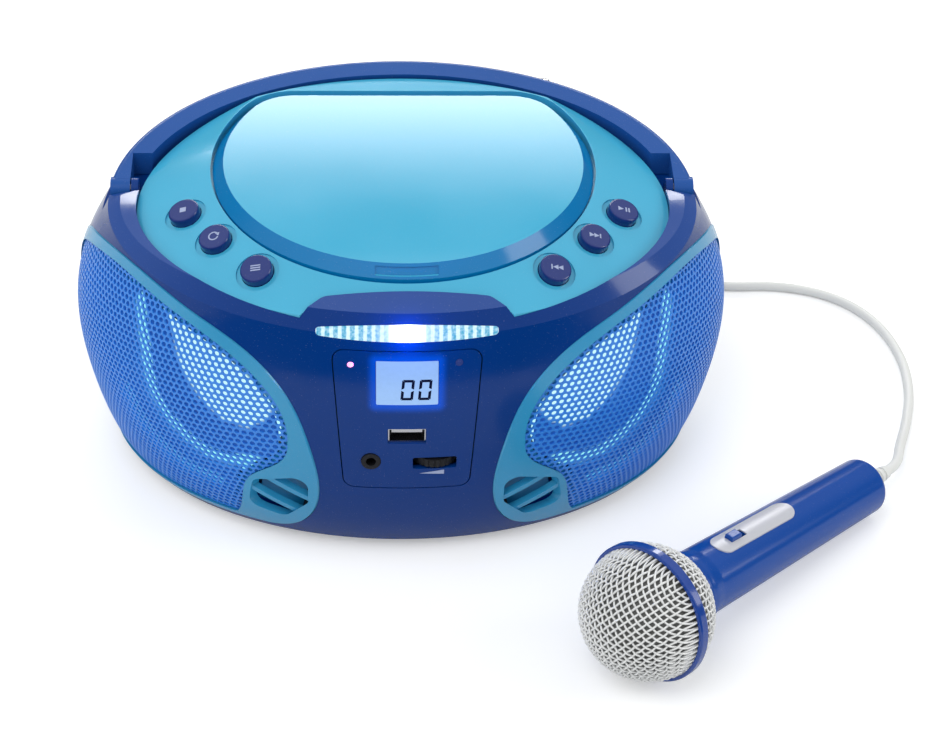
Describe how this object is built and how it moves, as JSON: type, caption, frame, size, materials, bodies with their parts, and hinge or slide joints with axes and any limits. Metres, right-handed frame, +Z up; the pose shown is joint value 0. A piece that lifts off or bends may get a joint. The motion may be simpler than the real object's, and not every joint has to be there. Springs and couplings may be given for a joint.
{
  "type": "karaoke disc player",
  "caption": "Egg-shaped blue karaoke player with top-loading disc tray, carry handle, ported speaker grilles and a wired hand microphone on a long cable.",
  "frame": {"origin": "on the surface it stands on, midway between the side ends of the housing and on the centre line of its lid opening and speakers, at the underside of the rubber feet", "axes": "+Z up, +X to the right as seen from the front, +Y to the rear, so the control panel faces -Y"},
  "size_m": [0.335, 0.3509, 0.1216],
  "materials": {
    "navy_gloss": "glossy",
    "cyan_gloss": "glossy",
    "lid_cyan": "glossy",
    "handle_blue": "satin",
    "trim_cyan": "glossy",
    "grille_blue": "satin",
    "button_navy": "glossy",
    "black_plastic": "matte",
    "white_plastic": "satin",
    "cone_grey": "matte",
    "clear_lens": "clear",
    "window_clear": "clear smoked",
    "steel": "brushed",
    "chrome": "polished",
    "circuit_board": "satin",
    "rubber_black": "matte",
    "mic_blue": "glossy",
    "mesh_silver": "satin",
    "plate_silver": "satin",
    "cable_white": "satin"
  },
  "bodies": {
    "housing": {"lower_shell": "navy_gloss", "upper_shell": "navy_gloss", "deck_rim": "navy_gloss", "light_bar_lens": "clear_lens", "top_deck": "cyan_gloss", "disc_well": "black_plastic", "handle_pins": "steel", "trim_left": "trim_cyan", "trim_right": "trim_cyan", "grille_left": "grille_blue", "grille_right": "grille_blue", "speaker_frame_left": "black_plastic", "speaker_frame_right": "black_plastic", "speaker_cone_left": "cone_grey", "speaker_cone_right": "cone_grey", "speaker_baffles": "black_plastic", "light_rings": "clear_lens", "control_panel": "navy_gloss", "lcd_window": "window_clear", "lcd_module": "black_plastic", "indicator_lenses": "clear_lens", "usb_socket": "steel", "mic_jack": "black_plastic", "control_board": "circuit_board", "button_boards": "circuit_board", "mechanism_chassis": "black_plastic", "guide_rods": "steel", "spindle_motor": "steel", "feet": "rubber_black", "main_board": "circuit_board", "transformer": "steel", "battery_box": "black_plastic", "ac_inlet": "black_plastic"},
    "disc_lid": {"cd_lid": "lid_cyan"},
    "handle": {"carry_handle": "handle_blue"},
    "stop_key": {"stop_button": "button_navy"},
    "play_key": {"play_button": "button_navy"},
    "play_mode_key": {"play_mode_button": "button_navy"},
    "next_key": {"next_button": "button_navy"},
    "album_key": {"album_button": "button_navy"},
    "previous_key": {"previous_button": "button_navy"},
    "mic_volume": {"mic_volume_wheel": "black_plastic"},
    "main_volume": {"volume_knob": "black_plastic"},
    "function_slider": {"function_switch": "black_plastic"},
    "disc_table": {"turntable": "black_plastic"},
    "pickup": {"laser_sled": "black_plastic"},
    "pickup_gear": {"drive_gear": "white_plastic"},
    "battery_cover": {"battery_door": "navy_gloss"},
    "aerial_base": {"aerial_knuckle": "chrome"},
    "aerial_arm": {"aerial_tube": "chrome"},
    "aerial_tip": {"aerial_rod": "chrome"},
    "microphone": {"mic_body": "mic_blue", "mic_mesh": "mesh_silver", "mic_band": "mesh_silver", "mic_plate": "plate_silver", "mic_strain_relief": "cable_white", "mic_cable": "cable_white", "mic_coil": "cable_white", "mic_plug": "cable_white"},
    "mic_slider": {"mic_switch": "mic_blue"}
  },
  "joints": [
    {"name": "lid_hinge", "type": "hinge", "parent": "housing", "child": "disc_lid", "pos_m": [0, 0.0525, 0.114], "axis": [-1, 0, 0], "range_deg": [0, 32]},
    {"name": "handle_hinge", "type": "hinge", "parent": "housing", "child": "handle", "pos_m": [0, 0.008, 0.10487], "axis": [1, 0, 0], "range_deg": [0, 78]},
    {"name": "stop_press", "type": "slide", "parent": "housing", "child": "stop_key", "axis": [0.2967, 0.17, -0.9397], "range_m": [0, 0.0012], "stiffness_N_per_m": 400},
    {"name": "play_press", "type": "slide", "parent": "housing", "child": "play_key", "axis": [-0.2967, 0.17, -0.9397], "range_m": [0, 0.0012], "stiffness_N_per_m": 400},
    {"name": "play_mode_press", "type": "slide", "parent": "housing", "child": "play_mode_key", "axis": [0.2729, 0.2533, -0.9281], "range_m": [0, 0.0012], "stiffness_N_per_m": 400},
    {"name": "next_press", "type": "slide", "parent": "housing", "child": "next_key", "axis": [-0.2729, 0.2533, -0.9281], "range_m": [0, 0.0012], "stiffness_N_per_m": 400},
    {"name": "album_press", "type": "slide", "parent": "housing", "child": "album_key", "axis": [0.2272, 0.3564, -0.9063], "range_m": [0, 0.0012], "stiffness_N_per_m": 400},
    {"name": "previous_press", "type": "slide", "parent": "housing", "child": "previous_key", "axis": [-0.2272, 0.3564, -0.9063], "range_m": [0, 0.0012], "stiffness_N_per_m": 400},
    {"name": "mic_volume_turn", "type": "hinge", "parent": "housing", "child": "mic_volume", "pos_m": [0.0099, -0.074, 0.0472], "axis": [0, 0, 1], "range_deg": [-135, 135]},
    {"name": "main_volume_turn", "type": "hinge", "parent": "housing", "child": "main_volume", "pos_m": [0.022, 0.078, 0.0174], "axis": [0, 0, 1], "range_deg": [-135, 135]},
    {"name": "function_slide", "type": "slide", "parent": "housing", "child": "function_slider", "axis": [1, 0, 0], "range_m": [-0.004, 0.004]},
    {"name": "disc_spin", "type": "hinge", "parent": "housing", "child": "disc_table", "pos_m": [0, 0.0035, 0.1025], "axis": [0, 0, 1], "continuous": true},
    {"name": "pickup_slide", "type": "slide", "parent": "housing", "child": "pickup", "axis": [0, -1, 0], "range_m": [0, 0.03]},
    {"name": "pickup_gear_turn", "type": "hinge", "parent": "housing", "child": "pickup_gear", "pos_m": [0.0217, -0.031, 0.0945], "axis": [0, 0, 1], "range_deg": [0, 300]},
    {"name": "battery_cover_pull", "type": "slide", "parent": "housing", "child": "battery_cover", "axis": [0, 1, 0], "range_m": [0, 0.025]},
    {"name": "aerial_swivel", "type": "hinge", "parent": "housing", "child": "aerial_base", "pos_m": [-0.046, 0.092, 0.0932], "axis": [0, 0, 1], "range_deg": [0, 180]},
    {"name": "aerial_lift", "type": "hinge", "parent": "aerial_base", "child": "aerial_arm", "pos_m": [-0.046, 0.092, 0.1015], "axis": [0, -1, 0], "range_deg": [0, 90]},
    {"name": "aerial_extend", "type": "slide", "parent": "aerial_arm", "child": "aerial_tip", "axis": [1, 0, 0], "range_m": [0, 0.08]},
    {"name": "microphone_lift", "type": "slide", "parent": "housing", "child": "microphone", "axis": [0, 0, 1], "range_m": [0, 0.08]},
    {"name": "mic_switch_slide", "type": "slide", "parent": "microphone", "child": "mic_slider", "axis": [0.7381, 0.6646, -0.1158], "range_m": [0, 0.003]}
  ],
  "couplings": [
    {"joint": "pickup_gear_turn", "follows": "pickup_slide", "rad_per_m": 166.67}
  ]
}
